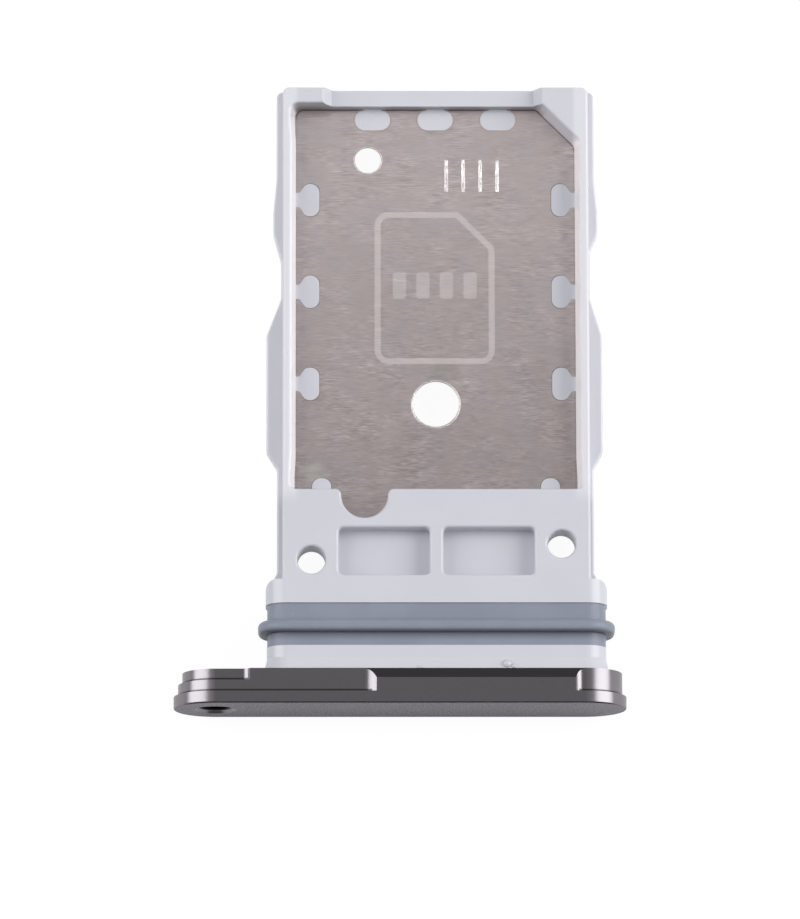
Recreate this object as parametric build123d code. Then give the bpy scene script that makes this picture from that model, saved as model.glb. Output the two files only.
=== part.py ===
from build123d import *
import math
import os

# SIM card tray that carries one nano card on each side of a thin steel plate.
# Millimetres, +Z up. The tray lies flat, its metal faceplate looks towards -Y and the
# card end points towards +Y. The origin is under the middle of the whole tray.

# Nano SIM card and its room in a pocket
card_length = 12.3
card_width = 8.8
card_thickness = 0.67
card_end_clearance = 0.12
card_side_clearance = 0.045
card_depth_clearance = 0.18

# Faceplate
faceplate_width = 14.25
faceplate_height = 2.62
faceplate_thickness = 1.13
faceplate_edge_round = 0.05
pin_hole_diameter = 1.06
pin_hole_chamfer = 0.11
flange_thickness = 0.385
rear_chamfer_length = 0.32
rear_chamfer_depth = 0.15

# Steps milled into the ends of the faceplate, measured from the end of its outline
left_step_inset = 0.14
left_step_reach = 6.385
left_step_ramp = 0.375
left_corner_inset = 0.27
left_corner_reach = 2.445
left_corner_ramp = 0.25
left_corner_start = 0.76
right_step_inset = 0.13
right_step_reach = 1.63
right_step_ramp = 0.25

# Tongue of the faceplate inside the moulded neck
tongue_width = 7.2
tongue_thickness = 0.5
tongue_length = 2.35
tongue_hole_diameter = 0.9
tongue_hole_spacing = 3.6
tongue_hole_setback = 1.45

# Moulded frame, across the tray
tray_offset = 1.15
rim_wall = 0.41
rim_draft = 0.14
shoulder_width = 10.76
neck_width = 10.68
neck_corner_radius = 0.65
neck_flare = 0.09
neck_flare_length = 0.4
shoulder_corner_radius = 0.3

# Moulded frame, lengths along the tray
neck_length = 0.78
seal_length = 1.36
shoulder_length = 0.76
front_block_length = 2.9
rear_wall = 0.53

# Pocket outline
pocket_front_radius = 0.17
pocket_rear_radius = 0.25
pocket_relief = 0.035
pocket_relief_length = 0.55
pocket_relief_slope = 0.6
card_corner_leg = 1.22
card_corner_radius = 0.3
thumb_notch_radius = 0.74
thumb_notch_depth = 0.93
thumb_notch_offset = 2.265
thumb_notch_corner = 0.18

# Lowered middle of the rear wall
rear_bar_height = 0.4
rear_bar_left = 3.3
rear_bar_right = 3.13
rear_bar_slope = 0.27

# Guide rails along the sides, half widths from the middle of the tray
rail_thickness = 0.52
rail_half_width = 5.06
rail_bump_half_width = 5.16
rail_notch_half_width = 4.91
rail_wide_half_width_left = 5.37
rail_wide_half_width_right = 5.28
rail_front_half_width_left = 5.03
rail_front_half_width_right = 4.98
rail_bend_radius = 0.45
rail_catch_radius = 0.06
rail_flare = 0.14
rail_flare_length = 0.3

# Places of the rails' bends, measured back from the rear end of the tray
rail_bump_rear = 2.9
rail_bump_full = 4.0
rail_bump_front = 4.65
rail_catch_left = 5.55
rail_catch_right = 5.2
rail_notch_front = 6.8
rail_wide_rear = 8.0
rail_wide_front = 11.75
rail_front_start = 12.3

# Front block
recess_width = 2.86
recess_length = 1.51
recess_depth = 0.62
recess_gap = 0.44
recess_setback = 1.25
recess_radius = 0.15
core_hole_diameter = 0.88
core_hole_relief_diameter = 1.3
core_hole_offset = 3.94
core_hole_left_setback = 2.29
core_hole_right_setback = 1.78

# Steel divider plate
plate_thickness = 0.12
plate_side_embed = 0.25
plate_rear_embed = 0.3
plate_front_embed = 1.0
plate_corner_radius = 0.3
plate_hole_clearance = 0.25
sensor_hole_diameter = 1.52
sensor_hole_setback = 2.9
small_hole_diameter = 0.86
small_hole_offset = 2.15
small_hole_setback = 1.67

# Plastic locks that fill cut-outs of the plate
oval_length = 1.12
oval_width = 0.66
oval_spacing = 2.0
oval_gap = 0.02
mushroom_first = 2.98
mushroom_spacing = 3.0
mushroom_head_length = 1.06
mushroom_head_reach = 0.75
mushroom_back_reach = 0.3
mushroom_stem_width = 0.47
mushroom_stem_reach = 0.13
mushroom_tip_radius = 0.28
mushroom_back_radius = 0.24
mushroom_stem_radius = 0.1
dome_width = 0.6
dome_height = 0.5
dome_offset = 3.62
lock_embed = 0.12
dome_round_share = 0.45

# Silicone seal
seal_wall = 0.3
seal_inset = 0.05
bead_length = 0.4
bead_height = 0.29
bead_round = 0.17
bead_setback = 0.42

# Soft edges of the moulding
edge_round = 0.09
rail_edge_round = 0.06
rear_corner_round = 0.2

# A half-round end takes nearly its whole half width, and edges are picked this close
full_round_share = 0.999
pick_distance = 0.001

# Worked out from the values above
pocket_length = card_length + 2 * card_end_clearance
pocket_width = card_width + 2 * card_side_clearance
pocket_depth = card_thickness + card_depth_clearance
body_thickness = 2 * pocket_depth + plate_thickness
body_width = pocket_width + 2 * rim_wall
half_body = body_thickness / 2
half_plate = plate_thickness / 2
half_faceplate = faceplate_height / 2

# Stations along Y, counted from the front of the faceplate
neck_front = faceplate_thickness
seal_front = neck_front + neck_length
seal_rear = seal_front + seal_length
block_front = seal_rear + shoulder_length
pocket_front = block_front + front_block_length
pocket_rear = pocket_front + pocket_length
overall_length = pocket_rear + rear_wall


def along_y(section, start, end):
    """Section drawn in X and Z, made solid between two stations."""
    return extrude(Plane.XZ.offset(-start) * section, -(end - start))


def slab(outline, low, high):
    """Outline drawn in X and Y, made solid between two heights."""
    return extrude(Plane.XY.offset(low) * outline, high - low)


def outline_of(points, radii):
    """Closed outline through the points, with a radius at each corner that has one."""
    face = make_face(Polyline(*points, close=True))
    for point, radius in zip(points, radii):
        if radius > 0:
            corner = face.vertices().sort_by_distance((point[0], point[1], 0))[0]
            face = fillet(corner, radius)
    return face


def edges_at(solid, height):
    """Edges of a solid that lie flat at one height."""
    return solid.edges().filter_by_position(
        Axis.Z, height - pick_distance, height + pick_distance
    )


def row_of(shape, spacing, count, station):
    """Copies of a flat shape in a row across the tray, centred on its middle."""
    first = -(count - 1) / 2 * spacing
    return Sketch() + [Pos(first + index * spacing, station) * shape for index in range(count)]


def neck_section(width, inset=0):
    """Rounded cross-section that the neck, the shoulder and the seal share."""
    return RectangleRounded(
        width - 2 * inset, body_thickness - 2 * inset, neck_corner_radius - inset
    )


# Faceplate
def step_cut(side, inset, reach, ramp, start):
    """Band taken off one end of the faceplate, running out in a hollow ramp."""
    floor = half_faceplate - inset
    top_x = side * (faceplate_width / 2 - reach)
    foot_x = top_x + side * ramp
    radius = (ramp ** 2 + inset ** 2) / (2 * inset)
    middle_angle = math.atan2(inset, ramp)
    bend = (
        foot_x - side * radius * math.sin(middle_angle),
        floor + radius * (1 - math.cos(middle_angle)),
    )
    wedge = make_face(
        ThreePointArc((foot_x, floor), bend, (top_x, half_faceplate))
        + Polyline((top_x, half_faceplate), (top_x, floor), (foot_x, floor))
    )
    margin = faceplate_height
    blank = Pos(top_x + side * (reach + margin) / 2, 0) * Rectangle(
        reach + margin, faceplate_height + margin
    )
    kept = SlotOverall(faceplate_width - 2 * inset, faceplate_height - 2 * inset)
    kept = kept + wedge + mirror(wedge, about=Plane.XZ)
    return along_y(blank - kept, start, faceplate_thickness)


def rear_chamfer():
    """Slope along the back edges of the faceplate's middle stretch, above and below."""
    low_x = -(faceplate_width / 2 - left_step_reach) - left_step_ramp
    high_x = faceplate_width / 2 - right_step_reach + right_step_ramp
    slope = make_face(
        Polyline(
            (faceplate_thickness - rear_chamfer_length, half_faceplate),
            (faceplate_thickness, half_faceplate - rear_chamfer_depth),
            (faceplate_thickness, half_faceplate),
            close=True,
        )
    )
    upper = extrude(Plane.YZ.offset(low_x) * slope, high_x - low_x)
    return upper + mirror(upper, about=Plane.XY)


def tongue():
    """Flat tongue behind the faceplate, with holes that the moulding fills."""
    outline = Pos(0, neck_front + tongue_length / 2) * Rectangle(tongue_width, tongue_length)
    station = neck_front + tongue_hole_setback
    outline -= row_of(Circle(tongue_hole_diameter / 2), tongue_hole_spacing, 2, station)
    return Pos(tray_offset, 0) * slab(outline, -tongue_thickness / 2, tongue_thickness / 2)


def make_faceplate():
    plate = along_y(SlotOverall(faceplate_width, faceplate_height), 0, faceplate_thickness)
    plate = fillet(plate.faces().sort_by(Axis.Y)[0].edges(), faceplate_edge_round)
    plate -= step_cut(-1, left_step_inset, left_step_reach, left_step_ramp, flange_thickness)
    plate -= step_cut(
        -1, left_corner_inset, left_corner_reach, left_corner_ramp, left_corner_start
    )
    plate -= step_cut(1, right_step_inset, right_step_reach, right_step_ramp, flange_thickness)
    plate -= rear_chamfer()
    pin_x = half_faceplate - faceplate_width / 2
    plate -= along_y(Pos(pin_x, 0) * Circle(pin_hole_diameter / 2), 0, faceplate_thickness)
    mouth = plate.edges().filter_by(GeomType.CIRCLE).sort_by_distance((pin_x, 0, 0))[0]
    plate = chamfer(mouth, pin_hole_chamfer)
    return plate + tongue()


# Pockets, the same on both sides of the divider plate
def pocket_outline(side_growth):
    """Card pocket seen from its own side, with the clipped corner and the thumb notch."""
    half = pocket_width / 2 + side_growth
    wide = half + pocket_relief
    relief_end = pocket_relief_length + pocket_relief_slope
    notch_left = -thumb_notch_offset - thumb_notch_radius
    notch_right = -thumb_notch_offset + thumb_notch_radius
    notch_centre = pocket_front - thumb_notch_depth + thumb_notch_radius
    points = [
        (-wide, pocket_front),
        (notch_left, pocket_front),
        (notch_left, notch_centre - thumb_notch_radius),
        (notch_right, notch_centre - thumb_notch_radius),
        (notch_right, pocket_front),
        (wide, pocket_front),
        (wide, pocket_front + pocket_relief_length),
        (half, pocket_front + relief_end),
        (half, pocket_rear - card_corner_leg),
        (half - card_corner_leg, pocket_rear),
        (-wide, pocket_rear),
        (-wide, pocket_rear - pocket_relief_length),
        (-half, pocket_rear - relief_end),
        (-half, pocket_front + relief_end),
        (-wide, pocket_front + pocket_relief_length),
    ]
    full_round = thumb_notch_radius * full_round_share
    radii = [
        pocket_front_radius,
        thumb_notch_corner,
        full_round,
        full_round,
        thumb_notch_corner,
        pocket_front_radius,
        0,
        0,
        card_corner_radius,
        card_corner_radius,
        pocket_rear_radius,
        0,
        0,
        0,
        0,
    ]
    return outline_of(points, radii)


def pocket_room():
    """Room of one pocket, whose side walls lean outwards from the plate."""
    floor = Plane.XY.offset(half_plate) * pocket_outline(0)
    mouth = Plane.XY.offset(half_body) * pocket_outline(rim_draft)
    return loft([floor, mouth], ruled=True)


def rear_bar_cut():
    """Room above the lowered middle of the rear wall, with a slope at each end."""
    low = half_plate + rear_bar_height
    section = make_face(
        Polyline(
            (-rear_bar_left, low),
            (rear_bar_right, low),
            (rear_bar_right + rear_bar_slope, half_body),
            (-rear_bar_left - rear_bar_slope, half_body),
            close=True,
        )
    )
    return along_y(section, pocket_rear - rear_wall, overall_length)


def recesses():
    """The pair of shallow pans in the front block."""
    pan = RectangleRounded(recess_width, recess_length, recess_radius)
    station = pocket_front - recess_setback - recess_length / 2
    pans = row_of(pan, recess_width + recess_gap, 2, station)
    return slab(pans, half_body - recess_depth, half_body)


# Divider plate
def oval_locks():
    """Three ovals along the rear wall, each rooted under it."""
    oval = SlotOverall(oval_length, oval_width)
    root = Pos(0, oval_width / 2) * Rectangle(oval_length / 2, oval_width)
    station = pocket_rear - oval_gap - oval_width / 2
    return row_of(oval + root, oval_spacing, 3, station)


def mushroom_lock():
    """One tab that grows from the left wall into the plate and widens to a round head."""
    wall_x = -pocket_width / 2
    half_head = mushroom_head_length / 2
    half_stem = mushroom_stem_width / 2
    side = [
        (wall_x - plate_side_embed, half_stem, 0),
        (wall_x + mushroom_stem_reach, half_stem, mushroom_stem_radius),
        (wall_x + mushroom_back_reach, half_head, mushroom_back_radius),
        (wall_x + mushroom_head_reach, half_head, mushroom_tip_radius),
    ]
    points = [(x, y) for x, y, radius in side]
    points += [(x, -y) for x, y, radius in reversed(side)]
    radii = [radius for x, y, radius in side]
    radii += [radius for x, y, radius in reversed(side)]
    return outline_of(points, radii)


def dome_lock():
    """One tab that grows from the front wall of the pocket into the plate."""
    length = dome_height + lock_embed
    body = Pos(0, pocket_front - lock_embed + length / 2) * Rectangle(dome_width, length)
    corners = body.vertices().group_by(Axis.Y)[-1]
    return fillet(corners, dome_width * dome_round_share)


def lock_outlines():
    """All cut-outs of the plate that the moulding fills, seen from above."""
    shape = oval_locks()
    for index in range(3):
        station = pocket_rear - mushroom_first - index * mushroom_spacing
        left = Pos(0, station) * mushroom_lock()
        shape += left + mirror(left, about=Plane.YZ)
    left_dome = Pos(-dome_offset, 0) * dome_lock()
    return shape + left_dome + mirror(left_dome, about=Plane.YZ)


def plate_holes():
    """The two round holes that stay open."""
    sensor = Pos(0, pocket_front + sensor_hole_setback) * Circle(sensor_hole_diameter / 2)
    small = Pos(-small_hole_offset, pocket_rear - small_hole_setback) * Circle(
        small_hole_diameter / 2
    )
    return sensor + small


def make_divider_plate():
    width = pocket_width + 2 * plate_side_embed
    front = pocket_front - thumb_notch_depth - plate_front_embed
    rear = pocket_rear + plate_rear_embed
    outline = Pos(0, (front + rear) / 2) * RectangleRounded(
        width, rear - front, plate_corner_radius
    )
    outline -= lock_outlines()
    outline -= plate_holes()
    outline -= core_hole_circles(core_hole_relief_diameter + 2 * plate_hole_clearance)
    return Pos(tray_offset, 0) * slab(outline, -half_plate, half_plate)


# Moulded frame
def core_hole_circles(diameter):
    """Circles at the two holes of the front block, which are staggered."""
    circle = Circle(diameter / 2)
    left = Pos(-core_hole_offset, pocket_front - core_hole_left_setback) * circle
    right = Pos(core_hole_offset, pocket_front - core_hole_right_setback) * circle
    return left + right


def rail_points(wide_half, front_half, catch):
    """Outer edge of one rail from rear to front, as distances from the tray's middle."""
    rear = overall_length
    return [
        (rail_half_width, rear, 0),
        (rail_half_width, rear - rail_bump_rear, rail_bend_radius),
        (rail_bump_half_width, rear - rail_bump_full, rail_bend_radius),
        (rail_bump_half_width, rear - rail_bump_front, rail_bend_radius),
        (rail_notch_half_width, rear - catch, rail_catch_radius),
        (rail_notch_half_width, rear - rail_notch_front, rail_bend_radius),
        (wide_half, rear - rail_wide_rear, rail_bend_radius),
        (wide_half, rear - rail_wide_front, rail_bend_radius / 2),
        (front_half, rear - rail_front_start, rail_bend_radius / 2),
        (front_half, block_front + rail_flare_length, rail_bend_radius / 2),
        (front_half + rail_flare, block_front, 0),
        (front_half + rail_flare, seal_rear, 0),
    ]


def rails():
    """Plan of both rails as one slab that the frame's walls stand on."""
    left = rail_points(
        rail_wide_half_width_left, rail_front_half_width_left, rail_catch_left
    )
    right = rail_points(
        rail_wide_half_width_right, rail_front_half_width_right, rail_catch_right
    )
    points = [(-x, y) for x, y, radius in left]
    points += [(x, y) for x, y, radius in reversed(right)]
    radii = [radius for x, y, radius in left]
    radii += [radius for x, y, radius in reversed(right)]
    plan = outline_of(points, radii)
    plan = fillet(plan.vertices().group_by(Axis.Y)[-1], rear_corner_round)
    solid = slab(plan, -rail_thickness / 2, rail_thickness / 2)
    for height in (-rail_thickness / 2, rail_thickness / 2):
        solid = fillet(edges_at(solid, height), rail_edge_round)
    return solid


def neck_and_shoulder():
    """Neck, seal groove and shoulder in front of the card end."""
    shoulder = along_y(neck_section(shoulder_width), seal_rear, block_front)
    plan = Pos(0, (seal_rear + block_front) / 2) * Rectangle(shoulder_width, shoulder_length)
    plan = fillet(plan.vertices().group_by(Axis.Y)[-1], shoulder_corner_radius)
    shoulder &= slab(plan, -half_body, half_body)
    neck = along_y(neck_section(neck_width), neck_front, seal_front)
    wide_end = Plane.XZ.offset(-neck_front) * neck_section(neck_width, -neck_flare)
    thin_end = Plane.XZ.offset(-neck_front - neck_flare_length) * neck_section(neck_width)
    core = along_y(
        neck_section(shoulder_width, seal_inset + seal_wall), neck_front, block_front
    )
    return shoulder + neck + loft([wide_end, thin_end]) + core


def make_frame():
    body_length = overall_length - seal_rear
    body = Pos(0, seal_rear + body_length / 2) * Box(body_width, body_length, body_thickness)
    body = fillet(body.edges().filter_by(Axis.Z).group_by(Axis.Y)[-1], rear_corner_round)
    body += rails()
    upper = pocket_room() + rear_bar_cut() + recesses()
    lower = Rot(0, 180, 0) * upper
    body = body - upper - lower
    body -= slab(core_hole_circles(core_hole_diameter), -half_body, half_body)
    body -= slab(core_hole_circles(core_hole_relief_diameter), -half_body, -half_plate)
    body -= slab(plate_holes(), -half_plate, half_plate)
    for height in (-half_body, half_body):
        body = fillet(edges_at(body, height), edge_round)
    bar_height = half_plate + rear_bar_height
    for height in (-bar_height, bar_height):
        body = fillet(edges_at(body, height).sort_by(Axis.Y)[-1], rail_edge_round)
    return Pos(tray_offset, 0) * (body + neck_and_shoulder())


# Seal
def make_seal():
    sleeve = neck_section(shoulder_width, seal_inset)
    core = neck_section(shoulder_width, seal_inset + seal_wall)
    bead = neck_section(shoulder_width, seal_inset - bead_height)
    bead_front = seal_front + bead_setback
    band = along_y(bead, bead_front, bead_front + bead_length)
    band = fillet(band.faces().sort_by(Axis.Y)[0].edges(), bead_round)
    band = fillet(band.faces().sort_by(Axis.Y)[-1].edges(), bead_round)
    ring = along_y(sleeve, seal_front, seal_rear) + band
    return Pos(tray_offset, 0) * (ring - along_y(core, seal_front, seal_rear))


def main():
    faceplate = make_faceplate()
    divider_plate = make_divider_plate()
    seal_ring = make_seal()
    plastic_frame = make_frame() - divider_plate - faceplate
    pieces = {
        "faceplate": faceplate,
        "divider_plate": divider_plate,
        "seal_ring": seal_ring,
        "plastic_frame": plastic_frame,
    }
    to_origin = Pos(0, -overall_length / 2, half_faceplate)
    os.makedirs("parts", exist_ok=True)
    for name, piece in pieces.items():
        export_step(to_origin * piece, os.path.join("parts", name + ".step"))


if __name__ == "__main__":
    main()
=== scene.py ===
import math

import bpy
from mathutils import Matrix, Vector


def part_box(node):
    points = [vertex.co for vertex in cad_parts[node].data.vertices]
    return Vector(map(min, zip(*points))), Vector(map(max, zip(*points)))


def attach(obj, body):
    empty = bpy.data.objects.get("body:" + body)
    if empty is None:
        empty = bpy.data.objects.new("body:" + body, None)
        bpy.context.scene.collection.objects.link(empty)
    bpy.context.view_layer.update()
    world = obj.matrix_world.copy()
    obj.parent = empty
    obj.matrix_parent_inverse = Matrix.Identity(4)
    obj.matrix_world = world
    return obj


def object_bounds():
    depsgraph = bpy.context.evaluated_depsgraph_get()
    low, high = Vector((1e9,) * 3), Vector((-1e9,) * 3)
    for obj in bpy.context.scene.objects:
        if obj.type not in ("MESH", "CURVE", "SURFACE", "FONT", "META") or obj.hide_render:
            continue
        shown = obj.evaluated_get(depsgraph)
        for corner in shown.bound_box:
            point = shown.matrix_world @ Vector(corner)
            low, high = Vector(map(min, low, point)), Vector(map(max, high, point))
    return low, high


bl_info = {
    "name": "Card Tray Finish",
    "version": (1, 0, 0),
    "blender": (4, 5, 0),
    "location": "View3D > Sidebar > Card Tray",
    "description": "Finishes the parts of a SIM card tray and sets a plain studio around it",
    "category": "Object",
}

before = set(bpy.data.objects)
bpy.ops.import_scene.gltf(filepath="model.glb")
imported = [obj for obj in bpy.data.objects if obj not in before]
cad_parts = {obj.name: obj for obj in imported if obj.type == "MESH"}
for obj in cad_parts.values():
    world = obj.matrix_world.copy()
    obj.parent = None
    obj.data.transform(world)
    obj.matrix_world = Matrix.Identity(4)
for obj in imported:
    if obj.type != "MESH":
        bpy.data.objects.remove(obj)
cad_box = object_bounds()

MM = 0.001
plate_low, plate_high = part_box("divider_plate")
frame_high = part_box("plastic_frame")[1]
face_low, face_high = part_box("faceplate")
seal_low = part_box("seal_ring")[0]
MIDDLE_Z = (plate_low.z + plate_high.z) / 2 / MM
TRAY_X = (plate_low.x + plate_high.x) / 2 / MM
PLATE_TOP = plate_high.z / MM

# The upper card pocket, in millimetres
POCKET_CENTRE = (TRAY_X, 3.2, 0)
POCKET_HALF = (4.445, 6.27, 0)
POCKET_CORNER = 0.25
POCKET_CLIP = 1.22
NEAR_REAR_WALL = (9.2, 9.3)

# The faceplate's round ends, and how far behind its front each step lies and how deep it is cut
FACE_RADIUS = (face_high.z - face_low.z) / 2 / MM
FACE_FLAT = (face_high.x - face_low.x) / 2 / MM - FACE_RADIUS
FACE_STEPS = ((0.385, 0.1), (0.76, 0.22))

# Middle of the picture on the tray, in millimetres
VIEW_MIDDLE = (0.011, -1.95, MIDDLE_Z)

# Name, direction from the tray, distance, size and watts of each soft box
LAMPS = (
    ("Studio_Right", (0.82, 0.12, 0.57), 0.45, (0.28, 0.4), 1.68),
    ("Studio_Left", (-0.77, 0.12, 0.63), 0.45, (0.15, 0.46), 1.1),
    ("Studio_Rear", (0.0, 0.5, 1.0), 0.12, (0.08, 0.05), 0.003),
)


# Sizes and colours that a user would change
class TraySizes(bpy.types.PropertyGroup):
    """Sizes of the marks, the scribed strokes, the holes' lips and the view."""

    mark_stroke: bpy.props.FloatProperty(
        name="Mark stroke", description="Width of the etched outline's line",
        default=0.19 * MM, unit="LENGTH", precision=6)
    mark_corner: bpy.props.FloatProperty(
        name="Mark corner", description="Radius of the etched outline's corners",
        default=0.45 * MM, unit="LENGTH", precision=6)
    mark_clip: bpy.props.FloatProperty(
        name="Mark clip", description="Leg of the etched outline's clipped corner",
        default=1.15 * MM, unit="LENGTH", precision=6)
    scribe_length: bpy.props.FloatProperty(
        name="Scribe length", description="Length of each scribed stroke",
        default=1.04 * MM, unit="LENGTH", precision=6)
    scribe_width: bpy.props.FloatProperty(
        name="Scribe width", description="Width of each scribed stroke",
        default=0.13 * MM, unit="LENGTH", precision=6)
    rim_lip: bpy.props.FloatProperty(
        name="Hole lip", description="Width of the rolled lip round each punched hole",
        default=0.04 * MM, unit="LENGTH", precision=6)
    camera_distance: bpy.props.FloatProperty(
        name="Camera distance", description="From the camera to the middle of the view",
        default=0.245, unit="LENGTH", precision=4)
    camera_tilt: bpy.props.FloatProperty(
        name="Camera tilt", description="Lean of the view from straight down to the faceplate",
        default=math.radians(12.0), unit="ROTATION")
    camera_swing: bpy.props.FloatProperty(
        name="Camera swing", description="Lean of the view to the left",
        default=math.radians(0.5), unit="ROTATION")
    camera_roll: bpy.props.FloatProperty(
        name="Camera roll", description="Turn of the picture",
        default=math.radians(-0.1), unit="ROTATION")
    camera_lens: bpy.props.FloatProperty(
        name="Camera lens", description="Focal length in millimetres", default=303.1)


class TrayColours(bpy.types.PropertyGroup):
    """Colours of the tray's materials and of the floor."""

    moulding: bpy.props.FloatVectorProperty(
        name="Moulding", description="White plastic of the frame",
        subtype="COLOR", size=4, default=(0.61, 0.612, 0.668, 1))
    steel: bpy.props.FloatVectorProperty(
        name="Plate steel", description="Brushed steel of the divider plate",
        subtype="COLOR", size=4, default=(0.665, 0.578, 0.577, 1))
    anodised: bpy.props.FloatVectorProperty(
        name="Anodised metal", description="Dark grey anodised faceplate",
        subtype="COLOR", size=4, default=(0.203, 0.191, 0.205, 1))
    seal: bpy.props.FloatVectorProperty(
        name="Seal", description="Blue-grey silicone",
        subtype="COLOR", size=4, default=(0.252, 0.274, 0.342, 1))
    floor: bpy.props.FloatVectorProperty(
        name="Floor", description="Pale floor",
        subtype="COLOR", size=4, default=(0.8, 0.8, 0.8, 1))


def sizes():
    return bpy.context.scene.card_tray_sizes


def colours():
    return bpy.context.scene.card_tray_colours


# Node building
class Wires:
    """Adds nodes to one tree, in columns, and feeds their sockets."""

    rows, row_step, column_step = 6, 220, 180

    def __init__(self, tree):
        self.tree = tree
        self.count = 0

    def add(self, kind, feeds=None, **settings):
        node = self.tree.nodes.new(kind)
        column, row = divmod(self.count, self.rows)
        node.location = (self.column_step * column, -self.row_step * row)
        self.count += 1
        for name, value in settings.items():
            setattr(node, name, value)
        for socket, value in (feeds or {}).items():
            self.feed(node.inputs[socket], value)
        return node

    def feed(self, socket, value):
        if isinstance(value, bpy.types.NodeSocket):
            self.tree.links.new(value, socket)
        else:
            socket.default_value = value

    def math(self, operation, *values, clamp=False):
        feeds = dict(enumerate(values))
        return self.add("ShaderNodeMath", feeds, operation=operation, use_clamp=clamp).outputs[0]

    def plus(self, first, second):
        return self.math("ADD", first, second)

    def minus(self, first, second):
        return self.math("SUBTRACT", first, second)

    def times(self, first, second):
        return self.math("MULTIPLY", first, second)

    def vector(self, operation, *values):
        node = self.add("ShaderNodeVectorMath", dict(enumerate(values)), operation=operation)
        scalar = operation in ("DOT_PRODUCT", "LENGTH", "DISTANCE")
        return node.outputs["Value" if scalar else "Vector"]

    def split(self, vector):
        return self.add("ShaderNodeSeparateXYZ", {0: vector}).outputs

    def join(self, x, y, z):
        return self.add("ShaderNodeCombineXYZ", {0: x, 1: y, 2: z}).outputs[0]

    def ramp(self, value, low, high, to_low=0.0, to_high=1.0, smooth=True):
        kind = "SMOOTHSTEP" if smooth else "LINEAR"
        feeds = {0: value, 1: low, 2: high, 3: to_low, 4: to_high}
        return self.add("ShaderNodeMapRange", feeds, interpolation_type=kind).outputs[0]

    def blend(self, share, first, second):
        feeds = {0: share, 6: first, 7: second}
        return self.add("ShaderNodeMix", feeds, data_type="RGBA").outputs[2]

    def noise(self, vector, scale, detail=2.0, roughness=0.5):
        feeds = {"Vector": vector, "Scale": scale, "Detail": detail, "Roughness": roughness}
        return self.add("ShaderNodeTexNoise", feeds).outputs[0]

    def group(self, tree, **feeds):
        node = self.add("ShaderNodeGroup", node_tree=tree)
        for name, value in feeds.items():
            self.feed(node.inputs[name.replace("_", " ")], value)
        return node.outputs


def new_group(name, inputs, outputs):
    """Empty shader group with named sockets, and its inner wires."""
    tree = bpy.data.node_groups.new(name, "ShaderNodeTree")
    for socket, (kind, default) in inputs.items():
        item = tree.interface.new_socket(socket, in_out="INPUT", socket_type="NodeSocket" + kind)
        if default is not None:
            item.default_value = default
    for socket, kind in outputs.items():
        tree.interface.new_socket(socket, in_out="OUTPUT", socket_type="NodeSocket" + kind)
    wires = Wires(tree)
    start = wires.add("NodeGroupInput").outputs
    end = wires.add("NodeGroupOutput").inputs
    return tree, wires, start, end


def once(maker):
    """Keeps one copy of each shader group, however many materials use it."""
    made = {}

    def give():
        if maker.__name__ not in made:
            made[maker.__name__] = maker()
        return made[maker.__name__]

    return give


@once
def grain_group():
    """Fine grain of a surface, from two sizes of noise, about 0.5 in the middle."""
    tree, w, start, end = new_group(
        "Tray Grain",
        {"Vector": ("Vector", None), "Scale": ("Float", 10.0), "Detail": ("Float", 3.0)},
        {"Value": "Float"})
    fine = w.noise(start["Vector"], start["Scale"], start["Detail"], 0.6)
    coarse = w.noise(start["Vector"], w.times(start["Scale"], 0.31), 2.0, 0.5)
    total = w.plus(w.times(fine, 0.65), w.times(coarse, 0.35))
    w.feed(end["Value"], w.ramp(total, 0.28, 0.72, smooth=False))
    return tree


@once
def streak_group():
    """Brushing: short scratches along X, of uneven length and strength."""
    tree, w, start, end = new_group(
        "Tray Brushing",
        {"Vector": ("Vector", None), "Length": ("Float", 1.0), "Thickness": ("Float", 0.03)},
        {"Value": "Float", "Scratches": "Float"})
    along = w.math("DIVIDE", 1.0, start["Length"])
    across = w.math("DIVIDE", 1.0, start["Thickness"])
    narrow = w.vector("MULTIPLY", start["Vector"], w.join(along, across, across))
    lines = w.noise(narrow, 1.0, 1.0, 0.5)
    wider = w.join(along, w.times(across, 0.3), across)
    bands = w.noise(w.vector("MULTIPLY", start["Vector"], wider), 0.7, 2.0, 0.5)
    patch = w.noise(start["Vector"], 0.9, 2.0, 0.5)
    total = w.plus(w.times(lines, 0.62), w.times(bands, 0.38))
    strength = w.ramp(patch, 0.4, 0.62, 0.3, 1.0)
    centred = w.times(w.minus(total, 0.5), strength)
    w.feed(end["Value"], w.math("ADD", w.times(centred, 2.2), 0.5, clamp=True))
    w.feed(end["Scratches"], w.ramp(centred, 0.11, 0.2))
    return tree


@once
def speck_group():
    """Small scattered dots, such as dust or chips."""
    tree, w, start, end = new_group(
        "Tray Specks",
        {"Vector": ("Vector", None), "Spacing": ("Float", 1.0), "Size": ("Float", 0.03),
         "Share": ("Float", 0.3)},
        {"Mask": "Float"})
    scale = w.math("DIVIDE", 1.0, start["Spacing"])
    wobble = w.add("ShaderNodeTexNoise", {"Vector": start["Vector"], "Scale": 14.0}).outputs[1]
    moved = w.vector("ADD", start["Vector"], w.vector("MULTIPLY", wobble, (0.05, 0.05, 0.05)))
    cells = w.add("ShaderNodeTexVoronoi", {"Vector": moved, "Scale": scale}).outputs
    away = w.times(cells["Distance"], start["Spacing"])
    pick = w.split(cells["Color"])
    radius = w.times(start["Size"], w.plus(0.4, w.times(pick[1], 0.6)))
    dot = w.ramp(away, w.times(radius, 0.6), radius, 1.0, 0.0)
    chosen = w.math("LESS_THAN", pick[0], start["Share"])
    w.feed(end["Mask"], w.times(dot, chosen))
    return tree


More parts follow.
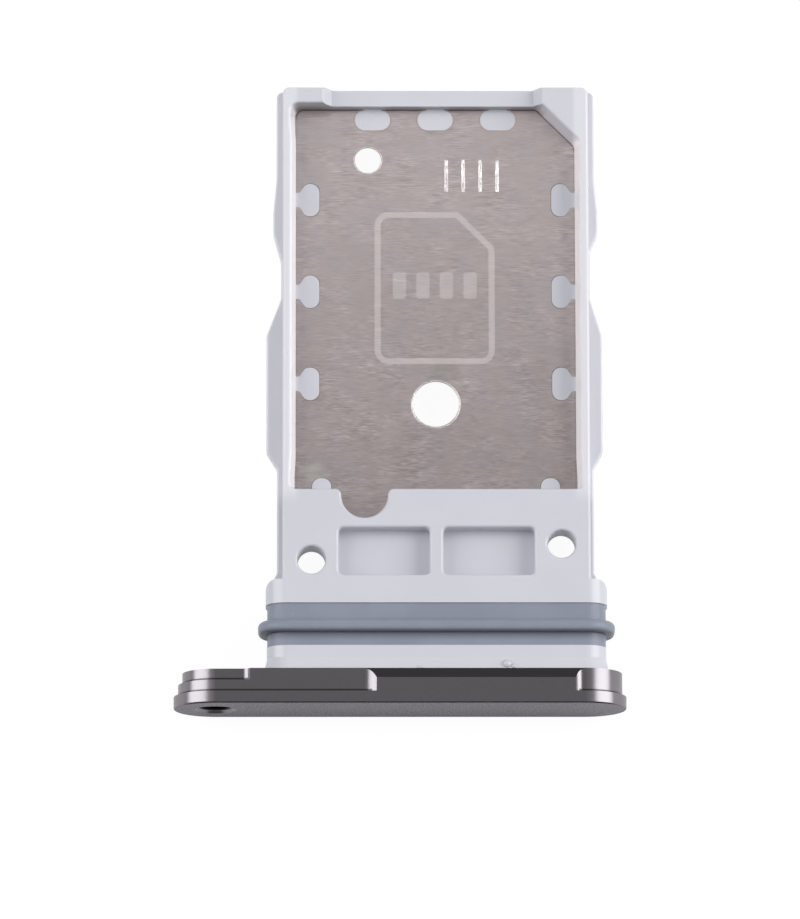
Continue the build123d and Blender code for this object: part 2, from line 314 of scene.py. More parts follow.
@once
def outline_group():
    """Line round a rounded rectangle, which may have its far right corner clipped."""
    tree, w, start, end = new_group(
        "Tray Outline",
        {"Vector": ("Vector", None), "Centre": ("Vector", None), "Half Size": ("Vector", None),
         "Corner": ("Float", 0.3), "Clip": ("Float", 0.0), "Stroke": ("Float", 0.1)},
        {"Mask": "Float", "Inside": "Float"})
    soft = 0.012
    x, y = w.split(w.vector("SUBTRACT", start["Vector"], start["Centre"]))[:2]
    half_x, half_y = w.split(start["Half Size"])[:2]
    out_x = w.plus(w.minus(w.math("ABSOLUTE", x), half_x), start["Corner"])
    out_y = w.plus(w.minus(w.math("ABSOLUTE", y), half_y), start["Corner"])
    past = w.join(w.math("MAXIMUM", out_x, 0.0), w.math("MAXIMUM", out_y, 0.0), 0.0)
    inner = w.math("MINIMUM", w.math("MAXIMUM", out_x, out_y), 0.0)
    box = w.minus(w.plus(w.vector("LENGTH", past), inner), start["Corner"])
    reach = w.plus(w.minus(x, half_x), w.minus(y, half_y))
    clip = w.times(w.plus(reach, start["Clip"]), math.sqrt(0.5))
    away = w.math("MAXIMUM", box, clip)
    half = w.times(start["Stroke"], 0.5)
    off = w.math("ABSOLUTE", w.plus(away, half))
    within, beyond = w.minus(half, soft), w.plus(half, soft)
    w.feed(end["Mask"], w.ramp(off, within, beyond, 1.0, 0.0))
    w.feed(end["Inside"], w.ramp(away, -soft, soft, 1.0, 0.0))
    return tree


@once
def facing_group():
    """How far the surface faces one way, from 0 to 1."""
    tree, w, start, end = new_group(
        "Tray Facing",
        {"Direction": ("Vector", None), "From": ("Float", 0.5), "To": ("Float", 0.8)},
        {"Mask": "Float"})
    normal = w.add("ShaderNodeTexCoord").outputs["Normal"]
    along = w.vector("DOT_PRODUCT", normal, start["Direction"])
    w.feed(end["Mask"], w.ramp(along, start["From"], start["To"]))
    return tree


@once
def patch_group():
    """Soft round patch about a point, with an uneven edge."""
    tree, w, start, end = new_group(
        "Tray Patch",
        {"Vector": ("Vector", None), "Centre": ("Vector", None), "Radius": ("Float", 0.5)},
        {"Mask": "Float"})
    wobble = w.noise(start["Vector"], 2.4, 3.0, 0.6)
    away = w.vector("DISTANCE", start["Vector"], start["Centre"])
    share = w.math("DIVIDE", away, start["Radius"])
    uneven = w.plus(share, w.times(w.minus(wobble, 0.5), 0.9))
    w.feed(end["Mask"], w.ramp(uneven, 0.25, 1.0, 1.0, 0.0))
    return tree


def new_material(name):
    """Material with its Principled shader, its wires and its coordinates in millimetres."""
    material = bpy.data.materials.new(name)
    material.use_nodes = True
    shader = material.node_tree.nodes["Principled BSDF"]
    w = Wires(material.node_tree)
    place = w.add("ShaderNodeTexCoord").outputs["Object"]
    return material, shader, w, w.vector("MULTIPLY", place, (1 / MM, 1 / MM, 1 / MM))


def bump(w, shader, height, strength, depth_mm):
    """Feeds the shader's normal from a height."""
    feeds = {"Height": height, "Strength": strength, "Distance": depth_mm * MM}
    w.feed(shader.inputs["Normal"], w.add("ShaderNodeBump", feeds).outputs[0])


def shade(colour, factor):
    """The colour made darker or lighter."""
    return tuple(channel * factor for channel in colour[:3]) + (1,)


# Finishes
def rims_painted_light(w, across, y, colour):
    """Painted light on the thin rims beside the pocket: paler plastic there, and a painted
    highlight on their inner walls.
    """
    beside_pocket = w.ramp(y, -3.6, -3.0)
    thin = w.times(w.ramp(across, 4.3, 4.5), beside_pocket)
    # Painted light: the thin rims are made paler, standing in for light through the thin plastic.
    colour = w.blend(thin, colour, (0.7, 0.695, 0.75, 1))
    towards_left = w.group(facing_group(), Direction=(-1, 0, 0))["Mask"]
    towards_right = w.group(facing_group(), Direction=(1, 0, 0))["Mask"]
    sideways = w.math("MAXIMUM", towards_left, towards_right)
    inner = w.times(sideways, w.ramp(across, 4.6, 4.7, 1.0, 0.0))
    # Painted highlight on the thin rims' inner walls.
    return w.blend(w.times(inner, thin), colour, (0.85, 0.835, 0.865, 1))


def rear_wall_painted_shade(w, x, y, z, colour):
    """Painted shade on the pocket's rear wall, darker at its foot and at its left end."""
    facing = w.group(facing_group(), Direction=(0, -1, 0), From=0.3, To=0.8)["Mask"]
    wall = w.times(facing, w.ramp(y, *NEAR_REAR_WALL))
    wall = w.times(wall, w.ramp(x, -2.6, -2.0, 1.0, 0.55))
    # Painted shade on the rear wall, darkest at its foot.
    painted_shade = w.times(wall, w.ramp(z, PLATE_TOP, 2.1, 0.8, 0.3))
    return w.blend(painted_shade, colour, (0.13, 0.12, 0.115, 1))


def moulding_finish():
    """White satin moulding: fine grain, dust, a parting line, painted light on the thin rims,
    painted shade on the rear wall.
    """
    base = colours().moulding
    material, shader, w, place = new_material("Tray_White_Moulding")
    x, y, z = w.split(place)
    across = w.math("ABSOLUTE", w.minus(x, TRAY_X))
    grain = w.group(grain_group(), Vector=place, Scale=11.0)["Value"]
    cloud = w.noise(place, 0.45, 2.0, 0.5)
    dust = w.group(speck_group(), Vector=place, Spacing=1.5, Size=0.035, Share=0.22)["Mask"]
    colour = w.blend(w.ramp(cloud, 0.35, 0.65), base, shade(base, 0.98))
    colour = w.blend(w.times(grain, 0.02), colour, shade(base, 0.7))
    colour = w.blend(w.times(dust, 0.35), colour, shade(base, 0.55))
    colour = rims_painted_light(w, across, y, colour)
    colour = rear_wall_painted_shade(w, x, y, z, colour)
    w.feed(shader.inputs["Base Color"], colour)
    w.feed(shader.inputs["Roughness"], w.ramp(grain, 0.0, 1.0, 0.27, 0.3, smooth=False))
    off_seam = w.math("ABSOLUTE", w.minus(z, MIDDLE_Z))
    outer = w.ramp(across, 4.8, 4.9)
    seam = w.times(w.ramp(off_seam, 0.006, 0.02, 1.0, 0.0), outer)
    bump(w, shader, w.plus(w.times(grain, 0.05), seam), 0.3, 0.012)
    shader.inputs["IOR"].default_value = 1.48
    return material


def lock_fringes(w, place, colour, base):
    """Thin dark gap round the side and front locks, and a pale reddish edge round the rear ones.
    """
    x, y = w.split(place)[:2]
    x = w.minus(x, TRAY_X)
    folded = w.join(w.math("ABSOLUTE", x), y, 0.0)
    middle = w.join(x, y, 0.0)
    dark, pale = shade(base, 0.35), (0.58, 0.46, 0.42, 1)
    # Half size of each kind of lock, and the radius of its corners
    side = (0.295, 0.555, 0), 0.29
    front = (0.33, 0.36, 0), 0.3
    rear = (0.61, 0.38, 0), 0.37
    for spot, centre, (half, corner), tint, strength in (
        (folded, (3.97, 6.49, 0), side, dark, 0.75),
        (folded, (3.97, 3.49, 0), side, dark, 0.6),
        (folded, (3.97, 0.49, 0), side, dark, 0.75),
        (folded, (3.62, -2.9, 0), front, dark, 0.4),
        (folded, (2.0, 9.12, 0), rear, pale, 0.6),
        (middle, (0.0, 9.12, 0), rear, pale, 0.6),
    ):
        line = w.group(outline_group(), Vector=spot, Centre=centre, Half_Size=half,
                       Corner=corner, Stroke=0.04)["Mask"]
        colour = w.blend(w.times(line, strength), colour, tint)
    return colour


def plate_clouding(w, place, colour):
    """Broad warm clouds and smaller cool ones."""
    warm = w.ramp(w.noise(place, 0.28, 3.0, 0.55), 0.4, 0.62)
    colour = w.blend(w.times(warm, 0.35), colour, (0.54, 0.5, 0.47, 1))
    elsewhere = w.vector("ADD", place, (5.0, 9.0, 0.0))
    cool = w.ramp(w.noise(elsewhere, 0.9, 2.0, 0.5), 0.42, 0.6)
    return w.blend(w.times(cool, 0.3), colour, (0.59, 0.545, 0.565, 1))


def plate_stains(w, place, colour):
    """Four soft stains, from the moulding and from handling."""
    for x, y, radius, tint, strength in (
        (-2.72, -2.45, 0.6, (0.62, 0.625, 0.59, 1), 0.5),
        (4.9, -2.72, 0.42, (0.33, 0.27, 0.215, 1), 0.35),
        (1.4, 0.95, 0.6, (0.36, 0.37, 0.33, 1), 0.4),
        (-2.7, 0.1, 0.45, (0.49, 0.35, 0.27, 1), 0.3),
    ):
        centre = (x, y, PLATE_TOP)
        spot = w.group(patch_group(), Vector=place, Centre=centre, Radius=radius)["Mask"]
        colour = w.blend(w.times(spot, strength), colour, tint)
    return colour


def foot_shade_line(w, place, x, y):
    """Mask of painted shade in the corner at the foot of the pocket's walls, faint except at the
    rear and the clip.
    """
    line = w.group(
        outline_group(), Vector=place, Centre=POCKET_CENTRE, Half_Size=POCKET_HALF,
        Corner=POCKET_CORNER, Clip=POCKET_CLIP, Stroke=0.045)["Mask"]
    faint = 0.15
    rear = w.ramp(y, 9.1, 9.3, faint, 0.75)
    diagonal = w.plus(w.minus(x, TRAY_X), y)
    clipped = w.ramp(diagonal, 12.45, 12.6, faint, 0.6)
    line = w.times(line, w.math("MAXIMUM", rear, clipped))
    return w.times(line, w.ramp(y, -2.95, -2.85))


def card_figure(w, place):
    """Mask of the etched card outline with its clipped corner and four plain contact pads."""
    s = sizes()
    card_centre, card_half = (1.122, 3.6175, 0), (1.908, 2.4825, 0)
    card = w.group(
        outline_group(), Vector=place, Centre=card_centre, Half_Size=card_half,
        Corner=s.mark_corner / MM, Clip=s.mark_clip / MM, Stroke=s.mark_stroke / MM)["Mask"]
    pad_count, pad_step, pad_y, pad_half = 4, 0.75, 3.7, (0.21, 0.43, 0)
    pads = 0.0
    for index in range(pad_count):
        pad = w.group(
            outline_group(), Vector=place, Centre=(pad_step * index, pad_y, 0),
            Half_Size=pad_half, Corner=0.08)["Inside"]
        pads = w.math("MAXIMUM", pads, pad)
    return w.math("MAXIMUM", card, w.times(pads, 0.8))


def steel_finish():
    """Brushed steel: clouds, wear and painted shade towards the front, stains, painted shade at
    the foot of the pocket's walls, dark gaps round the locks, a pale edge round the rear locks, an
    etched card figure.
    """
    base = colours().steel
    material, shader, w, place = new_material("Tray_Plate_Steel")
    x, y = w.split(place)[:2]
    upper = w.group(facing_group(), Direction=(0, 0, 1))["Mask"]
    brushed = w.group(streak_group(), Vector=place, Length=0.48, Thickness=0.038)
    elsewhere = w.vector("ADD", place, (31.0, 7.0, 3.0))
    fine = w.group(streak_group(), Vector=elsewhere, Length=0.27, Thickness=0.024)["Value"]
    tone = w.plus(w.times(brushed["Value"], 0.5), w.times(fine, 0.5))
    colour = w.blend(w.ramp(tone, 0.2, 0.8, smooth=False), shade(base, 0.68), shade(base, 1.31))
    colour = plate_clouding(w, place, colour)
    colour = w.blend(w.times(brushed["Scratches"], 0.35), colour, shade(base, 1.35))
    # Wear and painted shade: the plate is darker towards the front, most along the fine scratches.
    wear_and_painted_shade = w.ramp(y, -2.5, 6.0, 0.42, 0.0, smooth=False)
    wear_and_painted_shade = w.times(wear_and_painted_shade, w.ramp(fine, 0.2, 0.7, 1.5, 0.6, smooth=False))
    colour = w.blend(wear_and_painted_shade, colour, shade(base, 0.5))
    colour = plate_stains(w, place, colour)
    # Painted shade in the corner at the foot of the pocket's walls.
    foot = w.times(foot_shade_line(w, place, x, y), upper)
    colour = w.blend(foot, colour, (0.13, 0.1, 0.09, 1))
    colour = lock_fringes(w, place, colour, base)
    etched = w.times(card_figure(w, place), upper)
    colour = w.blend(w.times(etched, 0.5), colour, (0.68, 0.635, 0.625, 1))
    w.feed(shader.inputs["Base Color"], colour)
    shader.inputs["Metallic"].default_value = 1.0
    rough = w.ramp(tone, 0.0, 1.0, 0.3, 0.42, smooth=False)
    w.feed(shader.inputs["Roughness"], w.plus(rough, w.times(etched, 0.12)))
    calm = w.minus(1.0, w.times(etched, 0.7))
    bump(w, shader, w.times(tone, calm), 0.35, 0.006)
    return material


def step_painted_shade(w, x, rise, behind):
    """Mask of painted shade in the corner behind each of the faceplate's steps."""
    past = w.math("MAXIMUM", w.minus(w.math("ABSOLUTE", x), FACE_FLAT), 0.0)
    depth = w.minus(FACE_RADIUS, w.vector("LENGTH", w.join(past, rise, 0.0)))
    painted_shade = 0.0
    for station, cut in FACE_STEPS:
        back = w.minus(behind, station)
        line = w.times(w.ramp(back, -0.01, 0.0), w.ramp(back, 0.045, 0.1, 1.0, 0.0))
        line = w.times(line, w.ramp(depth, cut - 0.02, cut))
        painted_shade = w.math("MAXIMUM", painted_shade, line)
    return painted_shade


def edge_shade_and_chips(w, place, satin, colour, base):
    """Painted shade on the faceplate's bevel and ridge, with small bright chips of wear on the
    ridge.
    """
    # Painted shade on the rear bevel.
    bevel = w.group(facing_group(), Direction=(0, 0.707, 0.707), From=0.75, To=0.9)["Mask"]
    colour = w.blend(w.times(bevel, 0.8), colour, shade(base, 0.3))
    # Painted shade on the ridge between the top and the front.
    ridge = w.group(facing_group(), Direction=(0, -0.707, 0.707), From=0.8, To=0.95)["Mask"]
    dark = w.times(ridge, w.ramp(satin, 0.15, 0.5, 0.45, 1.0))
    colour = w.blend(w.times(dark, 0.95), colour, shade(base, 0.18))
    chips = w.group(speck_group(), Vector=place, Spacing=0.3, Size=0.04, Share=0.25)["Mask"]
    return w.blend(w.times(chips, ridge), colour, (0.6, 0.5, 0.44, 1))


def pin_hole(w, x, rise, behind):
    """Masks of painted shade in the pin hole's bore and of the bright cut round its mouth."""
    hole_x = w.minus(x, face_low.x / MM + FACE_RADIUS)
    away = w.vector("LENGTH", w.join(hole_x, rise, 0.0))
    bore_painted_shade = w.ramp(away, 0.55, 0.56, 1.0, 0.0)
    cut = w.times(w.ramp(away, 0.635, 0.66, 1.0, 0.0), w.minus(1.0, bore_painted_shade))
    return bore_painted_shade, w.times(cut, w.ramp(behind, 0.11, 0.13, 1.0, 0.0))


def anodised_finish():
    """Dark anodised metal: blasted front partly darkened as painted shade, satin edge, painted
    shade behind the steps, on the bevel and the ridge and in the pin hole's bore, worn chips, cut
    pin hole.
    """
    base = colours().anodised
    material, shader, w, place = new_material("Tray_Anodised_Metal")
    x, y, z = w.split(place)
    behind = w.minus(y, face_low.y / MM)
    rise = w.minus(z, MIDDLE_Z)
    front = w.group(facing_group(), Direction=(0, -1, 0), From=0.6, To=0.95)["Mask"]
    satin = w.group(grain_group(), Vector=place, Scale=24.0, Detail=3.0)["Value"]
    satin_edge = w.times(satin, w.minus(1.0, front))
    pits = w.ramp(w.noise(place, 19.0, 2.0, 0.6), 0.36, 0.64, smooth=False)
    blasted = w.times(pits, front)
    # The front face takes darker, bluer colours than the top: its blasted pits, and partly painted
    # shade of the front.
    low = w.blend(front, shade(base, 0.98), (0.042, 0.037, 0.047, 1))
    high = w.blend(front, shade(base, 1.02), (0.205, 0.186, 0.228, 1))
    colour = w.blend(w.plus(blasted, satin_edge), low, high)
    # Painted shade in the corners behind the faceplate's steps.
    painted_shade = step_painted_shade(w, x, rise, behind)
    colour = w.blend(w.times(painted_shade, 0.9), colour, shade(base, 0.12))
    colour = edge_shade_and_chips(w, place, satin, colour, base)
    bore_painted_shade, cut = pin_hole(w, x, rise, behind)
    # Painted shade inside the pin hole's bore.
    colour = w.blend(w.times(bore_painted_shade, 0.75), colour, shade(base, 0.15))
    colour = w.blend(w.times(cut, 0.8), colour, (0.2, 0.195, 0.2, 1))
    w.feed(shader.inputs["Base Color"], colour)
    shader.inputs["Metallic"].default_value = 1.0
    satin_rough = w.ramp(satin, 0.0, 1.0, 0.27, 0.3, smooth=False)
    rough = w.plus(satin_rough, w.times(front, 0.14))
    w.feed(shader.inputs["Roughness"], w.minus(rough, w.times(cut, 0.1)))
    relief = w.plus(blasted, w.times(satin_edge, 0.002))
    bump(w, shader, w.times(relief, w.minus(1.0, cut)), 0.55, 0.03)
    return material


def seal_finish():
    """Blue-grey silicone with a soft skin, a little dust, and a painted shadow in front of its
    bead.
    """
    base = colours().seal
    material, shader, w, place = new_material("Tray_Seal_Silicone")
    grain = w.group(grain_group(), Vector=place, Scale=9.0)["Value"]
    cloud = w.noise(place, 0.8, 2.0, 0.5)
    dust = w.group(speck_group(), Vector=place, Spacing=0.7, Size=0.045, Share=0.4)["Mask"]
    colour = w.blend(w.ramp(cloud, 0.35, 0.65), base, shade(base, 0.93))
    colour = w.blend(w.times(grain, 0.06), colour, shade(base, 0.7))
    behind = w.minus(w.split(place)[1], seal_low.y / MM)
    # Painted shadow of the bead on the sleeve in front of it.
    bead_painted_shadow = w.times(w.ramp(behind, 0.12, 0.4), w.ramp(behind, 0.44, 0.52, 1.0, 0.0))
    colour = w.blend(w.times(bead_painted_shadow, 0.85), colour, shade(base, 0.5))
    colour = w.blend(w.times(dust, 0.45), colour, (0.5, 0.52, 0.56, 1))
    w.feed(shader.inputs["Base Color"], colour)
    w.feed(shader.inputs["Roughness"], w.ramp(grain, 0.0, 1.0, 0.36, 0.5, smooth=False))
    bump(w, shader, w.plus(grain, w.times(dust, 0.8)), 0.35, 0.008)
    shader.inputs["IOR"].default_value = 1.41
    return material


def cut_finish(name, low, high):
    """Bare cut steel of the scribed strokes and of the holes' lips."""
    material, shader, w, place = new_material(name)
    grain = w.group(grain_group(), Vector=place, Scale=16.0)["Value"]
    w.feed(shader.inputs["Base Color"], w.blend(w.ramp(grain, 0.25, 0.75), low, high))
    shader.inputs["Metallic"].default_value = 1.0
    w.feed(shader.inputs["Roughness"], w.ramp(grain, 0.0, 1.0, 0.35, 0.6, smooth=False))
    bump(w, shader, grain, 0.5, 0.01)
    return material


def dress(node, material):
    """Gives a fixed part its finish without touching its mesh."""
    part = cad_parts[node]
    if not part.material_slots:
        part.data.materials.append(material)
    for place in part.material_slots:
        place.material = material


# Modelling by hand
def start_piece(name):
    """Names the new primitive, so that what follows shapes it."""
    piece = bpy.context.object
    piece.name = name
    piece.data.name = name
    return piece


def clear_selection():
    """Deselects everything, so that the next tool acts on the new piece alone."""
    bpy.ops.object.select_all(action="DESELECT")


def settle(piece, material, angle):
    """Puts the piece's place into its mesh and hands it to the tray."""
    clear_selection()
    piece.select_set(True)
    bpy.context.view_layer.objects.active = piece
    bpy.ops.object.transform_apply(location=True, rotation=True, scale=True)
    bpy.ops.object.shade_smooth_by_angle(angle=math.radians(angle))
    piece.data.materials.clear()
    piece.data.materials.append(material)
    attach(piece, "root")


def join_pieces(pieces, name):
    """Makes one mesh of like pieces."""
    clear_selection()
    for piece in pieces:
        piece.select_set(True)
    bpy.context.view_layer.objects.active = pieces[0]
    bpy.ops.object.join()
    return start_piece(name)


def scribed_stroke(x, y, seed):
    """One stroke: a low ridge of torn metal, its edge sunk in the plate and its ends narrower."""
    s = sizes()
    side, end = s.scribe_width / 2, s.scribe_length / 2
    sunk, ridge, torn = 0.006 * MM, 0.012 * MM, 0.006 * MM
    clear_selection()
    bpy.ops.mesh.primitive_plane_add(size=1, location=(x * MM, y * MM, plate_high.z))
    stroke = start_piece("stroke")
    bpy.ops.object.mode_set(mode="EDIT")
    bpy.ops.transform.resize(
        value=(s.scribe_width, s.scribe_length, 1), center_override=stroke.location)
    bpy.ops.mesh.subdivide(number_cuts=13)
    pick_vertices(stroke, lambda v: abs(v.co.x) > side * 0.9 or abs(v.co.y) > end * 0.98)
    bpy.ops.transform.translate(value=(0, 0, -sunk))
    pick_vertices(stroke, lambda v: abs(v.co.x) < side * 0.8)
    bpy.ops.transform.translate(value=(0, 0, ridge))
    pick_vertices(stroke, lambda v: abs(v.co.y) > end * 0.8)
    bpy.ops.transform.resize(value=(0.88, 1, 1), center_override=stroke.location)
    bpy.ops.mesh.select_all(action="SELECT")
    bpy.ops.transform.vertex_random(offset=torn, seed=seed)
    bpy.ops.object.mode_set(mode="OBJECT")
    return stroke


def pick_vertices(piece, wanted):
    """Selects only the wanted vertices of the piece being edited."""
    bpy.ops.mesh.select_all(action="DESELECT")
    bpy.ops.object.mode_set(mode="OBJECT")
    for vertex in piece.data.vertices:
        vertex.select = wanted(vertex)
    bpy.ops.object.mode_set(mode="EDIT")


def rolled_lip(x, y, radius, overhang, name):
    """Low rolled lip that covers the edge of a punched hole, from its wall to the plate."""
    lip = sizes().rim_lip / MM
    foot = -0.045
    profile = (
        (-overhang * 0.7, foot), (-overhang, -0.028), (-overhang, -0.01),
        (-overhang * 0.6, 0.005), (lip * 0.3, 0.007), (lip, -0.004),
    )
    clear_selection()
    bpy.ops.mesh.primitive_circle_add(
        vertices=128, radius=(radius + 0.03) * MM,
        location=(x * MM, y * MM, plate_high.z + foot * MM))
    ring = start_piece(name)
    bpy.ops.object.mode_set(mode="EDIT")
    bpy.ops.mesh.select_all(action="SELECT")
    height = foot
    for reach, level in profile:
        now = max(math.hypot(v.co.x, v.co.y) for v in mesh_selection(ring)) / MM
        bpy.ops.mesh.extrude_edges_move()
        factor = (radius + reach) / now
        bpy.ops.transform.resize(value=(factor, factor, 1), center_override=ring.location)
        bpy.ops.transform.translate(value=(0, 0, (level - height) * MM))
        height = level
    bpy.ops.mesh.select_all(action="SELECT")
    bpy.ops.mesh.normals_make_consistent(inside=False)
    bpy.ops.object.mode_set(mode="OBJECT")
    return ring


def mesh_selection(piece):
    """Selected vertices of the piece in edit mode."""
    piece.update_from_editmode()
    return [v for v in piece.data.vertices if v.select]


def flash_nub(x, y, z, size, seed):
    """Small torn bit of moulding flash."""
    clear_selection()
    bpy.ops.mesh.primitive_ico_sphere_add(
        subdivisions=3, radius=0.5, location=(x * MM, y * MM, z * MM),
        scale=[side * MM for side in size])
    nub = start_piece("nub")
    bpy.ops.object.mode_set(mode="EDIT")
    bpy.ops.mesh.select_all(action="SELECT")
    bpy.ops.transform.vertex_random(offset=0.03 * MM, seed=seed)
    bpy.ops.mesh.vertices_smooth(factor=0.6, repeat=3)
    bpy.ops.object.mode_set(mode="OBJECT")
    return nub


# Studio
def lamp(name, towards, distance, size, watts):
    """Soft box in one direction from the tray, facing it."""
    clear_selection()
    direction = Vector(towards).normalized()
    bpy.ops.object.light_add(type="AREA", location=direction * distance)
    light = bpy.context.object
    light.name = name
    light.rotation_euler = direction.to_track_quat("Z", "Y").to_euler()
    light.data.shape = "RECTANGLE"
    light.data.size, light.data.size_y = size
    light.data.energy = watts
    light.visible_camera = False


def floor_finish():
    """Pale floor that shows white behind the tray and keeps its shadow."""
    material = bpy.data.materials.new("Studio_Floor")
    material.use_nodes = True
    material.node_tree.nodes.clear()
    w = Wires(material.node_tree)
    path = w.add("ShaderNodeLightPath").outputs
    seen = path["Is Camera Ray"]
    tint = w.blend(seen, colours().floor, (0.09, 0.09, 0.09, 1))
    soft = w.add("ShaderNodeBsdfDiffuse", {"Color": tint}).outputs[0]
    mirrored = w.math("MAXIMUM", path["Is Glossy Ray"], path["Is Transmission Ray"])
    glow = w.plus(w.times(seen, 0.94), w.times(mirrored, 0.3))
    white = w.add("ShaderNodeEmission", {"Color": (1, 1, 1, 1), "Strength": glow}).outputs[0]
    total = w.add("ShaderNodeAddShader", {0: soft, 1: white}).outputs[0]
    w.add("ShaderNodeOutputMaterial", {"Surface": total})
    return material


def studio_world():
    """White behind everything, and a dim light that is strongest high up, but for its zenith."""
    world = bpy.data.worlds.new("Studio_World")
    world.use_nodes = True
    world.node_tree.nodes.clear()
    w = Wires(world.node_tree)
    seen = w.add("ShaderNodeLightPath").outputs["Is Camera Ray"]
    direction = w.add("ShaderNodeTexCoord").outputs["Generated"]
    height = w.vector("DOT_PRODUCT", direction, (0.0, 0.15, 1.0))
    glow = w.ramp(height, 0.0, 1.0, 0.17, 0.475, smooth=False)
    zenith = w.vector("DOT_PRODUCT", direction, (0.0, 0.2, 0.98))
    glow = w.times(glow, w.ramp(zenith, 0.88, 0.97, 1.0, 0.76))
    strength = w.math("MAXIMUM", seen, glow)
    sky = w.add("ShaderNodeBackground", {"Color": (1, 1, 1, 1), "Strength": strength}).outputs[0]
    w.add("ShaderNodeOutputWorld", {"Surface": sky})
    bpy.context.scene.world = world


def photo_camera():
    """Camera almost straight above the tray, leaning to the faceplate."""
    s = sizes()
    target = Vector(VIEW_MIDDLE) * MM
    tilt, swing = s.camera_tilt, s.camera_swing
    back = Vector((
        -math.sin(swing) * math.cos(tilt), -math.sin(tilt), math.cos(swing) * math.cos(tilt)))
    right = Vector((0, 1, 0)).cross(back).normalized()
    up = back.cross(right)
    turned = right * math.cos(s.camera_roll) + up * math.sin(s.camera_roll)
    upright = back.cross(turned)
    clear_selection()
    bpy.ops.object.camera_add(location=target + back * s.camera_distance)
    camera = bpy.context.object
    camera.name = "Studio_Camera"
    camera.rotation_euler = Matrix((turned, upright, back)).transposed().to_euler()
    camera.data.lens = s.camera_lens
    camera.data.sensor_width = 36.0
    camera.data.clip_start = 0.01
    bpy.context.scene.camera = camera


# Operators
class CARDTRAY_OT_moulding(bpy.types.Operator):
    """Finish the moulded frame in white satin plastic"""

    bl_idname = "cardtray.moulding"
    bl_label = "Moulded Frame"

    def execute(self, context):
        dress("plastic_frame", moulding_finish())
        return {"FINISHED"}


class CARDTRAY_OT_plate(bpy.types.Operator):
    """Finish the divider plate in brushed steel with its etched figure"""

    bl_idname = "cardtray.plate"
    bl_label = "Divider Plate"

    def execute(self, context):
        dress("divider_plate", steel_finish())
        return {"FINISHED"}


class CARDTRAY_OT_faceplate(bpy.types.Operator):
    """Finish the faceplate in dark anodised metal"""

    bl_idname = "cardtray.faceplate"
    bl_label = "Faceplate"

    def execute(self, context):
        dress("faceplate", anodised_finish())
        return {"FINISHED"}


class CARDTRAY_OT_seal(bpy.types.Operator):
    """Finish the seal in blue-grey silicone"""

    bl_idname = "cardtray.seal"
    bl_label = "Seal"

    def execute(self, context):
        dress("seal_ring", seal_finish())
        return {"FINISHED"}


class CARDTRAY_OT_cut_marks(bpy.types.Operator):
    """Model the scribed strokes and the lips of the punched holes"""

    bl_idname = "cardtray.cut_marks"
    bl_label = "Cut Marks"

    def execute(self, context):
        bright = cut_finish("Tray_Cut_Steel", (0.72, 0.68, 0.67, 1), (1.0, 0.98, 0.97, 1))
        rolled = cut_finish("Tray_Rolled_Steel", (0.55, 0.52, 0.5, 1), (0.76, 0.73, 0.71, 1))
        count, first_x, row_y, gap, first_seed = 4, 1.5, 7.285, 0.54, 3
        strokes = [
            scribed_stroke(first_x + gap * index, row_y, first_seed + index)
            for index in range(count)]
        settle(join_pieces(strokes, "Scribed_Strokes"), bright, 20.0)
        for x, y, radius, overhang, name in (
            (1.15, -0.17, 0.76, 0.03, "Sensor_Hole_Lip"),
            (-1.0, 7.8, 0.43, 0.012, "Small_Hole_Lip"),
        ):
            lip = rolled_lip(x, y, radius, overhang, name)
            settle(lip, rolled, 60.0)
        return {"FINISHED"}


class CARDTRAY_OT_flash(bpy.types.Operator):
    """Model the bits of flash where the neck meets the faceplate"""

    bl_idname = "cardtray.flash"
    bl_label = "Moulding Flash"

    def execute(self, context):
        sunk = 0.03
        top = frame_high.z / MM - sunk
        nubs = [
            flash_nub(3.36, -8.7, top, (0.3, 0.28, 0.2), 5),
            flash_nub(3.58, -8.78, top, (0.2, 0.16, 0.15), 9),
            flash_nub(0.62, -8.8, top, (0.3, 0.1, 0.09), 12),
        ]
        white = bpy.data.materials["Tray_White_Moulding"]
        settle(join_pieces(nubs, "Neck_Flash"), white, 60.0)
        return {"FINISHED"}


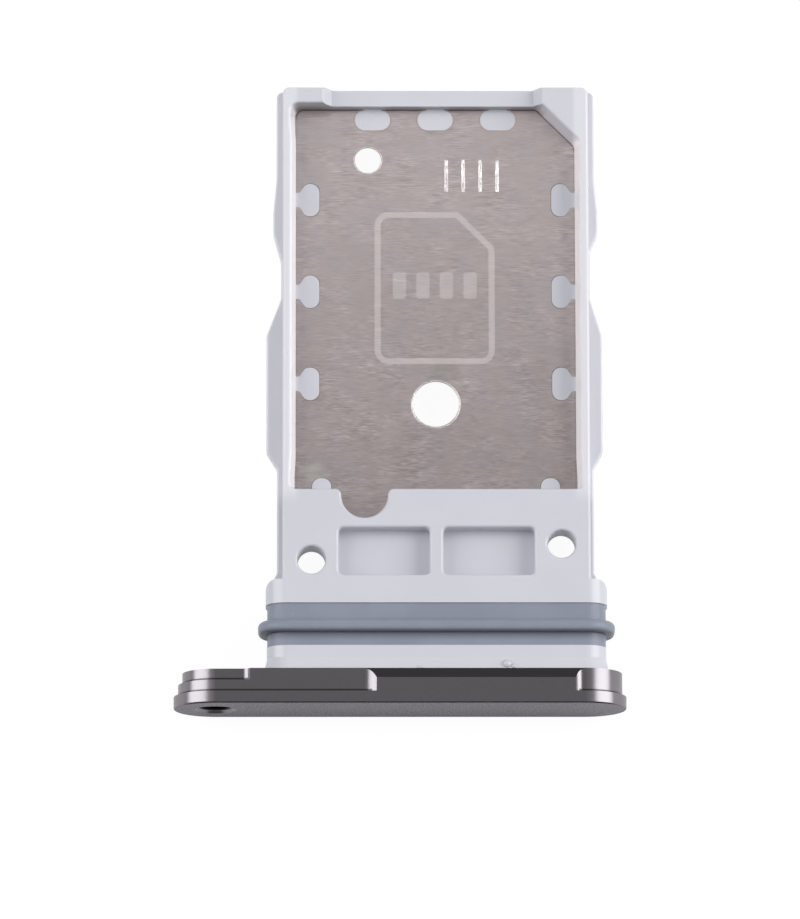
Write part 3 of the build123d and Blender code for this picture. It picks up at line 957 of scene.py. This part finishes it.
class CARDTRAY_OT_stage(bpy.types.Operator):
    """Set the floor, the soft boxes, the white surround and the camera"""

    bl_idname = "cardtray.stage"
    bl_label = "Studio"

    def execute(self, context):
        clear_selection()
        bpy.ops.mesh.primitive_plane_add(size=2.4, location=(0, 0, cad_box[0].z))
        floor = start_piece("Studio_Floor")
        floor.data.materials.append(floor_finish())
        studio_world()
        for values in LAMPS:
            lamp(*values)
        photo_camera()
        context.scene.view_settings.view_transform = "Standard"
        return {"FINISHED"}


class CARDTRAY_PT_panel(bpy.types.Panel):
    """Steps of the tray's finish, in order"""

    bl_idname = "CARDTRAY_PT_panel"
    bl_label = "Card Tray"
    bl_space_type = "VIEW_3D"
    bl_region_type = "UI"
    bl_category = "Card Tray"

    def draw(self, context):
        layout = self.layout
        for step in STEPS:
            layout.operator(step.bl_idname)
        for group in (context.scene.card_tray_sizes, context.scene.card_tray_colours):
            box = layout.box()
            for name in group.__annotations__:
                box.prop(group, name)


STEPS = (
    CARDTRAY_OT_moulding,
    CARDTRAY_OT_plate,
    CARDTRAY_OT_faceplate,
    CARDTRAY_OT_seal,
    CARDTRAY_OT_cut_marks,
    CARDTRAY_OT_flash,
    CARDTRAY_OT_stage,
)
CLASSES = (TraySizes, TrayColours) + STEPS + (CARDTRAY_PT_panel,)


def register():
    for kind in CLASSES:
        bpy.utils.register_class(kind)
    bpy.types.Scene.card_tray_sizes = bpy.props.PointerProperty(type=TraySizes)
    bpy.types.Scene.card_tray_colours = bpy.props.PointerProperty(type=TrayColours)


def unregister():
    del bpy.types.Scene.card_tray_colours
    del bpy.types.Scene.card_tray_sizes
    for kind in reversed(CLASSES):
        bpy.utils.unregister_class(kind)


def main():
    register()
    bpy.ops.cardtray.moulding()
    bpy.ops.cardtray.plate()
    bpy.ops.cardtray.faceplate()
    bpy.ops.cardtray.seal()
    bpy.ops.cardtray.cut_marks()
    bpy.ops.cardtray.flash()
    bpy.ops.cardtray.stage()


if __name__ == "__main__":
    main()
